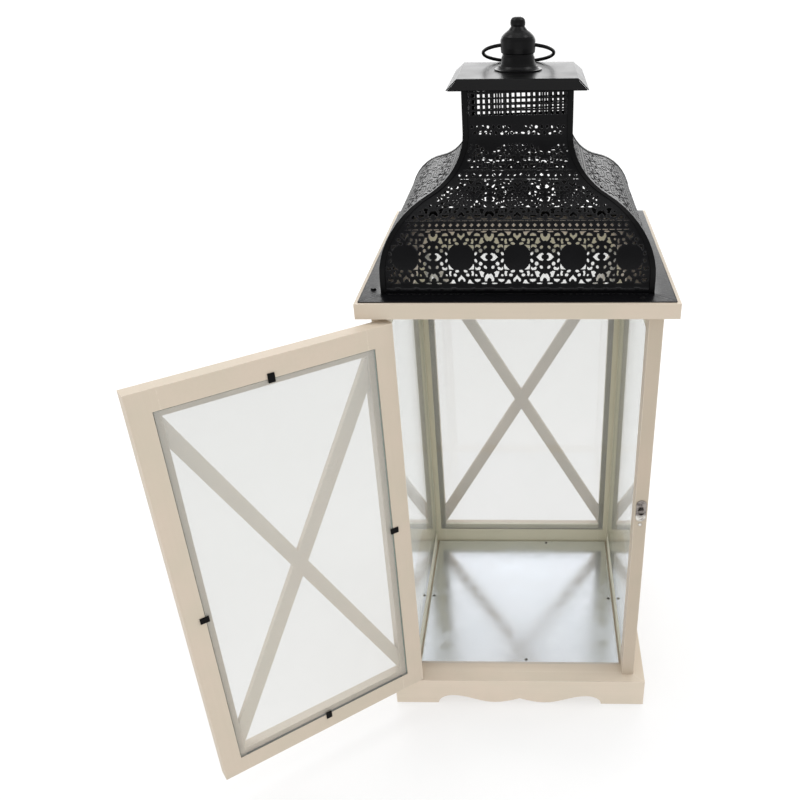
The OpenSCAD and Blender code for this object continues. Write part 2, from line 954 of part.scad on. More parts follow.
// The bulb is a hollow shell on a short collar, with a groove between the two; it is holed on both
// sides for the ring and at its top for the knob
module finial_bulb() {
    top = knob_r + 0.4;
    inner = bulb_r - bulb_wall;
    groove = bulb_r - 1.9;
    shoulder = bulb_h - 11;
    color(black)
        difference() {
            translate([0, 0, bulb_z])
                rotate_extrude()
                    polygon([
                        [0, 0], [bulb_r - collar_in, 0], [groove, 2.2], [groove, 2.7], [groove + 1.4, 3.6],
                        [bulb_r, 8], [bulb_r, shoulder], [bulb_r - 0.4, shoulder + 2],
                        [bulb_r - 1.2, shoulder + 3.8], [bulb_r - 3, shoulder + 5.6],
                        [bulb_r - 5, shoulder + 7.3], [top + 1.5, bulb_h - 1.9], [top, bulb_h], [0, bulb_h]
                    ]);
            translate([0, 0, bulb_z])
                rotate_extrude()
                    polygon([
                        [0, bulb_wall], [groove - 2 * bulb_wall, bulb_wall], [inner, 8], [inner, shoulder],
                        [inner - 1, shoulder + 3], [top, bulb_h - 4], [0, bulb_h - 4]
                    ]);
            translate([0, 0, eye_z])
                rotate([0, 90, 0])
                    cylinder(r = eye_r, h = 2 * bulb_r + 2 * past, center = true);
            translate([0, 0, bulb_z + bulb_h / 2])
                cylinder(r = spigot_r + screw_play, h = bulb_h);
            stud_hole();
        }
}

module finial_knob() {
    color(black)
        translate([0, 0, knob_z])
            rotate_extrude()
                polygon([
                    [0, -4], [spigot_r, -4], [spigot_r, 0], [knob_r + 0.4, 0], [knob_r - 0.6, 1.2],
                    [knob_r - 0.1, 2.8], [knob_r, knob_h - 5], [knob_r - 0.4, knob_h - 2.6],
                    [knob_r - 1.8, knob_h - 0.9], [knob_r - 4.2, knob_h - 0.1], [0, knob_h]
                ]);
}

nut_h = 3.2;
nut_r = 4;

module finial_stud() {
    color(nickel)
        translate([0, 0, cap_z - sheet_t - nut_h - 1.5]) {
            cylinder(r = stud_r, h = 1.5 + nut_h + sheet_t + foot_h + bulb_wall);
            translate([0, 0, 1.5 + nut_h + sheet_t + foot_h + bulb_wall])
                cylinder(r = 2 * stud_r, h = 2);
        }
}

module finial_nut() {
    color(nickel)
        translate([0, 0, cap_z - sheet_t - nut_h])
            difference() {
                cylinder(r = nut_r, h = nut_h, $fn = 6);
                translate([0, 0, -past])
                    cylinder(r = stud_r + screw_play, h = nut_h + 2 * past);
            }
}

// The ring hangs in the two side holes and lies back on the rear edge of the cap
module carrying_ring() {
    color(black)
        translate([0, 0, eye_z])
            rotate([ring_lie, 0, 0])
                translate([0, 0, -ring_back])
                    rotate([90, 0, 0])
                        rotate_extrude($fn = 96)
                            translate([ring_r, 0])
                                circle(r = wire_r, $fn = 24);
}

plinth_front();
plinth_back();
plinth_left();
plinth_right();
base_board();
tray();
tray_nails();
left_front_stile();
left_rear_stile();
left_top_rail();
left_bottom_rail();
left_glass();
right_front_stile();
right_rear_stile();
right_top_rail();
right_bottom_rail();
right_glass();
back_left_stile();
back_right_stile();
back_top_rail();
back_bottom_rail();
back_slat_rising();
back_slat_falling();
back_glass();
top_board();
door_hinge_stile();
door_free_stile();
door_top_rail();
door_bottom_rail();
door_slat_rising();
door_slat_falling();
door_glass();
door_glass_clips();
upper_hinge_post_leaf();
lower_hinge_post_leaf();
upper_hinge_door_leaf();
lower_hinge_door_leaf();
hinge_pins();
post_screws();
door_screws();
latch_keeper();
latch_plate();
latch_hook();
roof_front();
roof_back();
roof_left();
roof_right();
roof_corner_seams();
roof_screws();
chimney_cap();
finial_foot();
finial_bulb();
finial_knob();
finial_stud();
finial_nut();
carrying_ring();
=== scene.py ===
import math

import bpy
from mathutils import Matrix, Vector
from mathutils.geometry import delaunay_2d_cdt


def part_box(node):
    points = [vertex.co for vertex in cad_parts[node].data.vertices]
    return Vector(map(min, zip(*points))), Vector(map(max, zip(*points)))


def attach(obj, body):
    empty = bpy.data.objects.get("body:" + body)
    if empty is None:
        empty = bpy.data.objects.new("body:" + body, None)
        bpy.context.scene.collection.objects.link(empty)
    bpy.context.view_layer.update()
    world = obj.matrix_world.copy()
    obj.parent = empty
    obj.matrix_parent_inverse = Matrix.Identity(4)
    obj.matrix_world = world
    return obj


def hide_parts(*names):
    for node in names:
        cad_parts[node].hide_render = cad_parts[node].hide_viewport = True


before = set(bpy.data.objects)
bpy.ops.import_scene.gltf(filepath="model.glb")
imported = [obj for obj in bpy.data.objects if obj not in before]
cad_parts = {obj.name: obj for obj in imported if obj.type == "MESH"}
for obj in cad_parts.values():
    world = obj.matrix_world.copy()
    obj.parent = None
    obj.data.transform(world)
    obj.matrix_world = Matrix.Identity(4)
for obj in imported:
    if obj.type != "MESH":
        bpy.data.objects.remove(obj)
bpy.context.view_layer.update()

# ---------------------------------------------------------------- Studio
# A wide pale floor, three soft boxes overhead, a bright strip and screen behind and weak fills
# in front, with the camera looking down at the open door as in the photograph.

photo_width = 800
photo_centre = (512.393, 445.888)
focal_pixels = 862.702
sensor_width = 36.0
camera_place = Vector((0.013741, -0.904662, 0.828471))
camera_yaw = 0.0257123
camera_pitch = 0.5438246
camera_roll = -0.0109238


def into_scene(name, data):
    """A new object in the scene that shows the data."""
    made = bpy.data.objects.new(name, data)
    bpy.context.scene.collection.objects.link(made)
    return made


lens = bpy.data.cameras.new("viewpoint")
lens.sensor_width = sensor_width
lens.lens = focal_pixels * sensor_width / photo_width
lens.shift_x = 0.5 - photo_centre[0] / photo_width
lens.shift_y = photo_centre[1] / photo_width - 0.5
lens.clip_start = 0.01
camera = into_scene("viewpoint", lens)
camera.matrix_world = (
    Matrix.Translation(camera_place)
    @ Matrix.Rotation(camera_yaw, 4, "Z")
    @ Matrix.Rotation(math.pi / 2 - camera_pitch, 4, "X")
    @ Matrix.Rotation(camera_roll, 4, "Z")
)
bpy.context.scene.camera = camera
bpy.context.scene.view_settings.view_transform = "Standard"


class Wire:
    """One shader socket: sums on it add Math nodes to the finish that it belongs to."""

    def __init__(self, tree, socket=None):
        self.tree = tree
        self.socket = socket

    def node(self, kind, settings, inputs, output=0):
        """Any node with its settings and inputs, as a Wire from one of its outputs."""
        made = self.tree.nodes.new("ShaderNode" + kind)
        for name, value in settings.items():
            if name == "stops":
                stops = made.color_ramp.elements
                for place, grey in value[2:]:
                    stops.new(place)
                for stop, (place, grey) in zip(stops, value):
                    stop.position = place
                    stop.color = (grey, grey, grey, 1)
            else:
                setattr(made, name, value)
        for name, value in inputs.items():
            if isinstance(value, Wire):
                value.into(made, name)
            else:
                made.inputs[name].default_value = value
        return Wire(self.tree, made.outputs[output])

    def into(self, node, name):
        """Feeds a node's input."""
        self.tree.links.new(self.socket, node.inputs[name])

    def math(self, operation, *terms):
        return self.node("Math", {"operation": operation}, dict(enumerate(terms)))

    def __add__(self, other):
        return self.math("ADD", self, other)

    def __radd__(self, other):
        return self.math("ADD", other, self)

    def __sub__(self, other):
        return self.math("SUBTRACT", self, other)

    def __rsub__(self, other):
        return self.math("SUBTRACT", other, self)

    def __mul__(self, other):
        return self.math("MULTIPLY", self, other)

    def __rmul__(self, other):
        return self.math("MULTIPLY", other, self)


def new_finish(name, fixed):
    """A material with its shader's fixed values, and the place on the piece as a Wire."""
    made = bpy.data.materials.new(name)
    made.use_nodes = True
    shader = made.node_tree.nodes["Principled BSDF"]
    for socket, value in fixed.items():
        shader.inputs[socket].default_value = value
    return made, shader, Wire(made.node_tree).node("TexCoord", {}, {}, "Object")


def blend(mask, first, second):
    """A colour that turns from the first to the second as the mask rises."""
    first, second = (c if isinstance(c, Wire) else (*c, 1) for c in (first, second))
    return mask.node("Mix", {"data_type": "RGBA"}, {"Factor": mask, 6: first, 7: second}, 2)


def noise(place, scale, detail, roughness=0.5):
    """Cloudy noise over a place."""
    inputs = {"Vector": place, "Scale": scale, "Detail": detail, "Roughness": roughness}
    return place.node("TexNoise", {}, inputs)


def ramp(mask, *stops):
    """A grey that follows stops in rising order, each a value of the mask and its brightness."""
    return mask.node("ValToRGB", {"stops": stops}, {"Fac": mask})


def vector_math(operation, *terms, output=0):
    """A sum on places or directions."""
    return terms[0].node("VectorMath", {"operation": operation}, dict(enumerate(terms)), output)


# The floor glows less near the lantern, where the light from above is at its brightest.
floor_half = 30.0
floor_finish, floor_shader, floor_place = new_finish(
    "studio_floor",
    {"Roughness": 0.75, "Specular IOR Level": 0.1, "Emission Strength": 0.775},
)
floor_tone = noise(floor_place, 3.0, 3.0)
blend(floor_tone, (0.40, 0.40, 0.40), (0.42, 0.42, 0.42)).into(floor_shader, "Base Color")
tens_of_metres = vector_math("LENGTH", floor_place, output=1) * 0.1
glow = ramp(tens_of_metres, (0.06, 0.70), (0.25, 0.86), (0.8, 1))
glow.into(floor_shader, "Emission Color")
floor_corners = [(-1, -1), (1, -1), (1, 1), (-1, 1)]
floor_mesh = bpy.data.meshes.new("studio_floor")
floor_mesh.from_pydata(
    [(x * floor_half, y * floor_half, 0) for x, y in floor_corners], [], [(0, 1, 2, 3)]
)
floor_mesh.materials.append(floor_finish)
floor = into_scene("studio_floor", floor_mesh)

sky = bpy.data.worlds.new("studio_sky")
sky.use_nodes = True
sky.node_tree.nodes["Background"].inputs["Color"].default_value = (1.0, 1.0, 1.0, 1)
sky.node_tree.nodes["Background"].inputs["Strength"].default_value = 0.80
bpy.context.scene.world = sky


def soft_box(name, place, aim, size, glow):
    """A rectangular soft light whose face shines with the given radiance."""
    light = bpy.data.lights.new(name, "AREA")
    light.shape = "RECTANGLE"
    light.size, light.size_y = size
    light.energy = glow * math.pi * size[0] * size[1]
    lamp = into_scene(name, light)
    lamp.location = place
    lamp.rotation_euler = (Vector(aim) - Vector(place)).to_track_quat("-Z", "Y").to_euler()
    lamp.visible_camera = False


soft_box("left_box", (-1.25, 0.15, 2.6), (0, 0, 0.4), (0.75, 0.75), 5.6)
soft_box("right_box", (1.30, 0.15, 2.6), (0, 0, 0.4), (0.75, 0.75), 6.6)
soft_box("top_box", (0.0, -0.1, 2.9), (0, 0, 0.4), (1.0, 1.2), 1.7)
soft_box("back_strip", (0.0, 2.6, 1.15), (0, 0, 0.7), (4.4, 0.8), 3.2)
soft_box("back_screen", (0.0, 2.7, 2.1), (0, 0, 0.4), (4.4, 3.4), 0.40)
soft_box("front_fill", (1.0, -1.9, 2.1), (-0.1, 0, 0.3), (2.0, 1.4), 0.10)
soft_box("low_fill", (0.1, -1.3, 0.3), (0, 0, 0.05), (1.2, 0.4), 1.25)
soft_box("left_fill", (-2.2, -1.0, 0.9), (0, 0, 0.3), (1.2, 1.2), 0.9)

# ---------------------------------------------------------------- Plinth
# Four scalloped boards of pine, mitred and glued at the corners, brushed with cream paint in a
# lighter copy of the other boards' coats, which is painted light.
# The brush has gone along each board, and the paint is lighter at the edges, partly rubbed a
# little by handling and partly a painted highlight.

outside_coats = ((0.610, 0.520, 0.425), (0.560, 0.500, 0.400))
# The plinth's coats are a lighter copy of the cream, which is painted light.
plinth_lit_coats = ((0.690, 0.590, 0.485), (0.635, 0.565, 0.460))
# A lighter cream for the edges: partly worn paint, partly a painted highlight.
worn_and_highlight_coat = (0.700, 0.625, 0.530)
bristle_shade = (0.50, 0.415, 0.325)
bristle_stretch = (9.0, 330.0, 330.0)
grain_stretch = (3.0, 55.0, 55.0)
worn_and_highlight_reach = 0.0016
eased_edge = 0.0006
along_x = Vector((1, 0, 0))
along_y = Vector((0, 1, 0))
upright = Vector((0, 0, 1))
brushed_finishes = {}


def softened(place, reach):
    """The normal rounded over the edges within reach."""
    return place.node("Bevel", {"samples": 4}, {"Radius": reach})


def edge_turn(place, rounded):
    """How far a rounded normal has turned from the face: more than 0 only at the edges."""
    flat = place.node("NewGeometry", {}, {}, "Normal")
    return 1 - vector_math("DOT_PRODUCT", rounded, flat, output=1)


def relief(shader, height, strength, distance, **over):
    """Lets a height shape a shader's normal, over another normal if one is given."""
    inputs = {"Height": height, "Strength": strength, "Distance": distance, **over}
    height.node("Bump", {}, inputs).into(shader, "Normal")


def brushed_paint(along, coats, patch=None):
    """Paint of two tones, brushed along a direction, lighter at the edges partly from wear and
    partly as a painted highlight; a patch has painted-light tones of its own somewhere.
    """
    key = (coats, patch, *(round(c, 2) for c in along))
    if key in brushed_finishes:
        return brushed_finishes[key]
    made, shader, place = new_finish(
        f"cream_paint_{len(brushed_finishes)}", {"Specular IOR Level": 0.25}
    )
    turn = along.to_track_quat("X", "Z").to_matrix().inverted().to_euler()
    lengthwise = place.node("Mapping", {}, {"Vector": place, "Rotation": turn})
    brush = noise(vector_math("MULTIPLY", lengthwise, bristle_stretch), 1.0, 4.0)
    grain = noise(vector_math("MULTIPLY", lengthwise, grain_stretch), 1.0, 5.0)
    mottle = noise(place, 17.0, 3.0)
    speck = noise(place, 420.0, 2.0)
    rub = ramp(mottle * 0.6 + speck * 0.4, (0.42, 0), (0.62, 1))
    # The edges turn to the lighter cream, partly as rubbed paint and partly as a painted
    # highlight.
    rubbed_and_highlight_edge = edge_turn(place, softened(place, worn_and_highlight_reach)) * rub * 3.2
    cloudy = ramp(mottle, (0.36, 0), (0.66, 1)) * 0.75 + grain * 0.3 - 0.05
    base = blend(cloudy, *coats)
    if patch:
        covers, patch_coats = patch
        base = blend(covers(place), base, blend(cloudy, *patch_coats))
    streaked = blend(brush * 0.22, base, bristle_shade)
    blend(rubbed_and_highlight_edge, streaked, worn_and_highlight_coat).into(shader, "Base Color")
    (0.47 + brush * 0.10 - rubbed_and_highlight_edge * 0.06).into(shader, "Roughness")
    relief(shader, brush * 0.7 + grain * 0.5 + speck * 0.25, 0.22, 0.0004)
    brushed_finishes[key] = made
    return made


def dress(node, finish):
    """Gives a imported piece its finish."""
    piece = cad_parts[node]
    piece.data.materials.clear()
    piece.data.materials.append(finish)
    return piece


def paint_wood(node, along, coats=outside_coats, patch=None, edge=eased_edge):
    """Paints a wooden piece along its grain and eases its sharp edges."""
    piece = dress(node, brushed_paint(along, coats, patch))
    eased = piece.modifiers.new("eased_edges", "BEVEL")
    eased.width = edge
    eased.segments = 2
    eased.limit_method = "ANGLE"
    eased.angle_limit = math.radians(40)


for side in ("front", "back"):
    paint_wood(f"plinth_{side}", along_x, plinth_lit_coats)
for side in ("left", "right"):
    paint_wood(f"plinth_{side}", along_y, plinth_lit_coats)

# ---------------------------------------------------------------- Base board
# One square pine board let into the top of the plinth, where it carries the tray and the frames.
# It was brushed together with the plinth, in the same lighter coats, which are painted light.

paint_wood("base_board", along_x, plinth_lit_coats)

# ---------------------------------------------------------------- Tray
# Thin galvanised sheet folded down at its four edges and nailed near the middle of each one.
# The zinc has frosted into faint spangles, and candle soot and fingers have smudged it.

zinc_light = (0.88, 0.91, 0.96)
zinc_dull = (0.80, 0.85, 0.92)
zinc, zinc_shader, zinc_place = new_finish("galvanised_sheet", {"Metallic": 1.0})
spangle = zinc_place.node("TexVoronoi", {}, {"Vector": zinc_place, "Scale": 75.0}, "Color")
frost = zinc_place.node("SeparateColor", {}, {"Color": spangle})
smudge = noise(zinc_place, 14.0, 8.0, 0.62)
smudged = ramp(smudge, (0.42, 0), (0.64, 1))
blend(smudged * 0.34 + frost * 0.16, zinc_light, zinc_dull).into(zinc_shader, "Base Color")
(0.13 + smudged * 0.08 + frost * 0.05).into(zinc_shader, "Roughness")
relief(zinc_shader, smudge + frost * 0.2, 0.05, 0.0006)
dress("tray", zinc)


def mottled(name, fixed, cloud, tones, polish):
    """A finish whose tone and roughness follow one cloudy noise, with its shader and masks."""
    made, shader, place = new_finish(name, fixed)
    mask = noise(place, *cloud)
    blend(mask, *tones).into(shader, "Base Color")
    smoothest, rise = polish
    (smoothest + mask * rise).into(shader, "Roughness")
    return made, shader, place, mask


nail_tones = ((0.05, 0.048, 0.045), (0.22, 0.21, 0.19))
nail_steel, *_ = mottled("dark_nail", {"Metallic": 1.0}, (520.0, 4.0), nail_tones, (0.22, 0.3))
dress("tray_nails", nail_steel)

# ---------------------------------------------------------------- Side and back frames
# Each has two stiles and two rails of painted pine, and the back a pair of slats halved over each
# other.  The front stiles of the side frames are the door's posts.  The paint that faces the
# inside of the case is tinted green as painted light through the glass, and lighter on the side
# rails.
# The front face of the right post is painted darker, which is painted shade.

inner_faces = 0.1325
inner_fade = 400.0
post_fronts = -0.1385
front_fade = 1000.0


def run_of(node):
    """The direction in which a straight piece runs, from its box."""
    low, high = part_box(node)
    return (high - low).normalized()


def axis(place, name):
    """One coordinate of a place."""
    return place.node("SeparateXYZ", {}, {"Vector": place}, name)


def behind_glass(place):
    """Covers what faces the inside of the case."""
    across, ahead = axis(place, "X"), axis(place, "Y")
    farthest = place.math("MAXIMUM", place.math("ABSOLUTE", across), place.math("ABSOLUTE", ahead))
    return (inner_faces - farthest) * inner_fade + 0.5


def post_front_face(place):
    """Covers the front face of a post."""
    return (post_fronts - axis(place, "Y")) * front_fade + 0.5


# Painted light: what faces the inside of the case is tinted green, and lighter on the side rails.
glass_lit_patch = (behind_glass, ((0.560, 0.530, 0.400), (0.515, 0.500, 0.375)))
rail_lit_patch = (behind_glass, ((0.700, 0.690, 0.560), (0.650, 0.645, 0.520)))
# Painted shade: the front face of the right post gets a darker coat.
front_shade_patch = (post_front_face, ((0.500, 0.420, 0.335), (0.460, 0.400, 0.315)))
paint_wood("left_front_stile", upright)
paint_wood("right_front_stile", upright, patch=front_shade_patch)
for side in ("left", "right"):
    paint_wood(f"{side}_rear_stile", upright, patch=glass_lit_patch)
    for rail in ("top_rail", "bottom_rail"):
        paint_wood(f"{side}_{rail}", along_y, patch=rail_lit_patch)
for stile in ("left_stile", "right_stile"):
    paint_wood(f"back_{stile}", upright, patch=glass_lit_patch)
for rail in ("top_rail", "bottom_rail"):
    paint_wood(f"back_{rail}", along_x, patch=glass_lit_patch)
back_run = run_of("back_slat_rising")
paint_wood("back_slat_rising", Vector((back_run.x, 0, back_run.z)).normalized())
paint_wood("back_slat_falling", Vector((back_run.x, 0, -back_run.z)).normalized())

# ---------------------------------------------------------------- Panes
# Clear float glass, laid in the frames' rebates from the inside.  Its cut edges look green, paler
# on the fixed panes as painted light from the wood around them, and its faces carry a thin grey
# film with old wipe marks, which darkens the glass more towards the top.

film_tones = ((0.44, 0.445, 0.425), (0.52, 0.525, 0.50))
film_at_foot = 0.13
film_per_metre = 0.40
mirror_tone = (0.96, 0.98, 0.97, 1)
head_on_mirror = 0.04
clear_glass, glass_shader, glass_place = new_finish(
    "clear_glass", {"IOR": 1.5, "Specular IOR Level": 0.5}
)
wipe_place = glass_place.node("Mapping", {}, {"Vector": glass_place, "Rotation": (0.3, 0.5, 0.4)})
wipe = noise(wipe_place, 9.0, 6.0, 0.6)
# The film covers more of the glass towards the top.
film_cover = film_at_foot + axis(glass_place, "Z") * film_per_metre + wipe * 0.05
film_cover.into(glass_shader, "Alpha")
blend(wipe, *film_tones).into(glass_shader, "Base Color")
(0.02 + wipe * 0.05).into(glass_shader, "Roughness")
slant = glass_place.node("LayerWeight", {}, {"Blend": 0.5}, "Facing")
grazing = slant * slant * slant * slant * slant
mirror = glass_place.node(
    "BsdfPrincipled", {}, {"Base Color": mirror_tone, "Metallic": 1.0, "Roughness": 0.015}
)
film = Wire(glass_place.tree, glass_shader.outputs["BSDF"])
mirrored_part = head_on_mirror + grazing * (1 - head_on_mirror)
surface = glass_place.node("MixShader", {}, {0: mirrored_part, 1: film, 2: mirror})
surface.into(clear_glass.node_tree.nodes["Material Output"], "Surface")


def cut_edge(name, deep, pale, cover):
    """The ground edge of a pane, between a deep and a pale green."""
    made, shader, place = new_finish(name, {"IOR": 1.5, "Roughness": 0.25, "Alpha": cover})
    blend(noise(place, 160.0, 4.0), deep, pale).into(shader, "Base Color")
    return made


def glaze(node, edge):
    """Clear faces and cut edges for a pane, which lets the light through to the wood behind."""
    pane = dress(node, clear_glass)
    pane.visible_shadow = False
    pane.data.materials.append(edge)
    least_face = 0.3 * max(face.area for face in pane.data.polygons)
    for face in pane.data.polygons:
        face.material_index = int(face.area <= least_face)


# The fixed panes' edges are paler: painted light from the wood around them.
wood_lit_edge = cut_edge("wood_lit_glass_edge", (0.36, 0.44, 0.38), (0.50, 0.56, 0.50), 0.35)
for side in ("left", "right", "back"):
    glaze(f"{side}_glass", wood_lit_edge)

# ---------------------------------------------------------------- Top board
# A square board with a square opening under the roof, glued over the three frames.  Its edges
# are rounded over a little more than the other boards' edges.

rounded_edge = 0.0016
paint_wood("top_board", along_x, edge=rounded_edge)

# ---------------------------------------------------------------- Door
# Painted like the frames, with its pane let in from the inside and held by four black clips.
# The pair of slats outside the pane is painted in a lighter coat, which is painted light.

rail_span = run_of("door_top_rail")
door_run = Vector((-rail_span.x, rail_span.y, 0)).normalized()
for stile in ("hinge_stile", "free_stile"):
    paint_wood(f"door_{stile}", upright)
for rail in ("top_rail", "bottom_rail"):
    paint_wood(f"door_{rail}", door_run)
# Painted light: the slats get a lighter copy of the cream.
slat_lit_coats = ((0.690, 0.595, 0.485), (0.635, 0.570, 0.455))
slat_span = run_of("door_slat_rising")
slat_level = door_run * math.hypot(slat_span.x, slat_span.y)
slat_rise = upright * slat_span.z
paint_wood("door_slat_rising", (slat_level + slat_rise).normalized(), slat_lit_coats)
paint_wood("door_slat_falling", (slat_level - slat_rise).normalized(), slat_lit_coats)
green_edge = cut_edge("green_glass_edge", (0.045, 0.13, 0.10), (0.16, 0.30, 0.25), 0.85)
glaze("door_glass", green_edge)

deep_black = (0.0022, 0.0022, 0.0026)
black_paint, black_shader, black_place, _ = mottled(
    "satin_black_paint",
    {"Specular IOR Level": 0.065},
    (30.0, 6.0, 0.65),
    (deep_black, (0.0050, 0.0050, 0.0052)),
    (0.27, 0.16),
)
relief(black_shader, noise(black_place, 900.0, 2.0), 0.10, 0.0002)
dress("door_glass_clips", black_paint)

# ---------------------------------------------------------------- Hinges
# Two butt hinges of nickel-plated steel join the door to the left post.  Each has two leaves
# round a pin, in the gap beside the door, and is held by countersunk screws.

nickel_tones = ((0.62, 0.60, 0.56), (0.42, 0.40, 0.37))
nickel, nickel_shader, _, tarnish = mottled(
    "dull_nickel", {"Metallic": 1.0}, (260.0, 5.0, 0.65), nickel_tones, (0.16, 0.28)
)
relief(nickel_shader, tarnish, 0.12, 0.0002)
for hinge in ("upper", "lower"):
    dress(f"{hinge}_hinge_post_leaf", nickel)
    dress(f"{hinge}_hinge_door_leaf", nickel)
for fixing in ("hinge_pins", "door_screws"):
    dress(fixing, nickel)

# ---------------------------------------------------------------- Latch
# Plated steel: a keeper with a headed peg screwed to the right post, and a plate with a swinging
# hook on the door.  The peg's lower half is painted black, which is painted shade, and the plated
# pieces are painted lighter below the keeper's lower end, which is a painted reflection.

dull_tone = (0.13, 0.115, 0.11)
peg_middle = 0.2835
peg_fade = 160.0
reflection_height = 0.278
reflection_fade = 90.0
pressed_edge = 0.0012
blued, blued_shader, blued_place = new_finish("dark_steel", {"Metallic": 1.0})
handling = noise(blued_place, 330.0, 5.0, 0.7)
aged = blend(ramp(handling, (0.44, 0), (0.62, 1)), dull_tone, (0.26, 0.24, 0.22))
# Painted shade: the peg turns black below its middle height.
above = (axis(blued_place, "Z") - peg_middle) * peg_fade + 0.5
shade_under_peg = ramp(above, (0.3, 1), (0.7, 0))
blend(shade_under_peg, aged, (0.010, 0.008, 0.008)).into(blued_shader, "Base Color")
(0.20 + handling * 0.25).into(blued_shader, "Roughness")
relief(blued_shader, handling, 0.15, 0.0002)

bright, bright_shader, bright_place = new_finish("worn_plate_with_painted_reflection", {"Metallic": 1.0})
scuff = noise(bright_place, 190.0, 5.0, 0.65)
scuffed = ramp(scuff, (0.38, 0), (0.60, 1))
dull = blend(scuffed, dull_tone, (0.34, 0.31, 0.29))
reflecting_tone = blend(scuffed, (0.42, 0.40, 0.37), (0.74, 0.72, 0.68))
# Painted reflection: the plated pieces turn lighter below this height.
below = (reflection_height - axis(bright_place, "Z")) * reflection_fade + 0.5
reflection_below = ramp(below, (0.35, 0), (0.65, 1))
blend(reflection_below, dull, reflecting_tone).into(bright_shader, "Base Color")
(0.14 + scuff * 0.30).into(bright_shader, "Roughness")
relief(bright_shader, scuff, 0.3, 0.0004, Normal=softened(bright_place, pressed_edge))
for fixing in ("latch_keeper", "latch_plate", "latch_hook", "post_screws"):
    dress(fixing, bright)

plate_thickness = 0.00105
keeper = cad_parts["latch_keeper"]
keeper.data.materials.append(blued)
wood_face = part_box("latch_keeper")[1].y
for face in keeper.data.polygons:
    face.material_index = int(face.center.y < wood_face - plate_thickness)

# ---------------------------------------------------------------- Roof
# Four panels of 1 mm steel, pierced flat by the punch, bent over a former to an ogee, welded at
# the corners and painted satin black.  Each is drawn flat here, holes and all, then bent.

sheet = 0.001
rim_reach = 0.0011
eave_z = 0.528
eave_half = 0.129
flange_half = 0.149
foot_rise = 0.017
bell_radius = 0.069
neck_radius = 0.053
neck_half = 0.0515
chimney_rise = 0.048
bend_turn = math.acos(1 - (eave_half - neck_half) / (bell_radius + neck_radius))
bell_end = foot_rise + bell_radius * bend_turn
neck_end = bell_end + neck_radius * bend_turn
fold_radius = 0.0012
fold_run = fold_radius * math.pi / 4


def bent(run):
    """Where the sheet is after bending, at a distance up from the eave: half width and height."""
    if run < -fold_run:
        return eave_half - run, eave_z
    if run < fold_run:
        angle = (run + fold_run) / fold_radius
        out = eave_half + fold_radius * (1 - math.sin(angle))
        return out, eave_z + fold_radius * (1 - math.cos(angle))
    if run < foot_rise:
        return eave_half, eave_z + run
    if run < bell_end:
        angle = (run - foot_rise) / bell_radius
        crown = eave_half - bell_radius + bell_radius * math.cos(angle)
        return crown, eave_z + foot_rise + bell_radius * math.sin(angle)
    neck_z = eave_z + foot_rise + (bell_radius + neck_radius) * math.sin(bend_turn)
    if run < neck_end:
        angle = (neck_end - run) / neck_radius
        hollow = neck_half + neck_radius - neck_radius * math.cos(angle)
        return hollow, neck_z - neck_radius * math.sin(angle)
    return neck_half, neck_z + run - neck_end


def outline(points, place=(0, 0), turn=0.0):
    """A punched hole's outline, turned and set at its place on the flat sheet."""
    c, s = math.cos(turn), math.sin(turn)
    return [(place[0] + c * x - s * y, place[1] + s * x + c * y) for x, y in points]


def oval(across, up, sides=8):
    """An oval or round punch."""
    steps = [2 * math.pi * i / sides for i in range(sides)]
    return [(across * math.cos(a), up * math.sin(a)) for a in steps]


def oblong(across, up):
    """A rectangular punch."""
    return [(-across, -up), (across, -up), (across, up), (-across, up)]


# The punch tool, a quarter of it: from the middle of a solid disc out to the middle between two
# discs, and from the disc's middle to the border.  All the pattern's sizes are in millimetres.
quarter_holes = [
    outline(oval(1.3, 2.0), (13.8, 3.4), -0.45),
    outline(oval(1.9, 1.9), (18.3, 6.2)),
    [(11.6, 6.1), (12.3, 8.5), (11.8, 11.6), (6.6, 11.9), (8.6, 10.2), (10.4, 8.2)],
    [(13.1, 9.0), (15.0, 10.3), (17.4, 8.8), (18.6, 10.3), (17.5, 12.2), (14.2, 12.4),
     (12.9, 11.0)],
    outline(oval(1.9, 1.45), (22.7, 9.5), 0.9),
    outline(oval(2.2, 1.35), (4.0, 13.3), 0.25),
    outline(oval(1.9, 1.7), (5.9, 17.0)),
    [(9.0, 13.2), (11.4, 12.8), (12.0, 15.8), (11.2, 18.2), (9.2, 17.6), (9.8, 15.6)],
    [(16.6, 13.4), (19.2, 12.9), (21.9, 14.6), (20.6, 16.8), (21.2, 18.9), (18.6, 19.1),
     (17.6, 16.4)],
    [(5.4, 25.2), (6.9, 21.6), (8.6, 21.3), (9.9, 23.8), (12.1, 25.5)],
    [(11.9, 20.9), (18.1, 20.7), (17.4, 22.9), (14.6, 24.0), (12.6, 23.0)],
    outline(oval(2.9, 0.85), (21.3, 25.2)),
    outline(oval(1.25, 1.25), (14.0, 17.2)),
]
side_pointer = [
    (18.0, 0.0), (21.0, 2.9), (23.6, 3.7), (25.0, 2.6), (23.3, 1.6), (22.6, 0.0),
    (23.3, -1.6), (25.0, -2.6), (23.6, -3.7), (21.0, -2.9),
]
disc_arrow = [
    (0.0, 16.6), (1.4, 18.6), (3.5, 20.6), (3.6, 23.2), (1.9, 23.6), (1.3, 21.9),
    (0.0, 20.9), (-1.3, 21.9), (-1.9, 23.6), (-3.6, 23.2), (-3.5, 20.6), (-1.4, 18.6),
]
middle_arrow = [
    (0.0, 16.2), (1.6, 15.4), (3.2, 17.0), (4.7, 20.4), (4.3, 23.2), (2.1, 23.2), (1.8, 21.0),
    (0.0, 19.6), (-1.8, 21.0), (-2.1, 23.2), (-4.3, 23.2), (-4.7, 20.4), (-3.2, 17.0),
    (-1.6, 15.4),
]
disc_rows = 3
disc_pitch = 52.5
row_pitch = 59.5
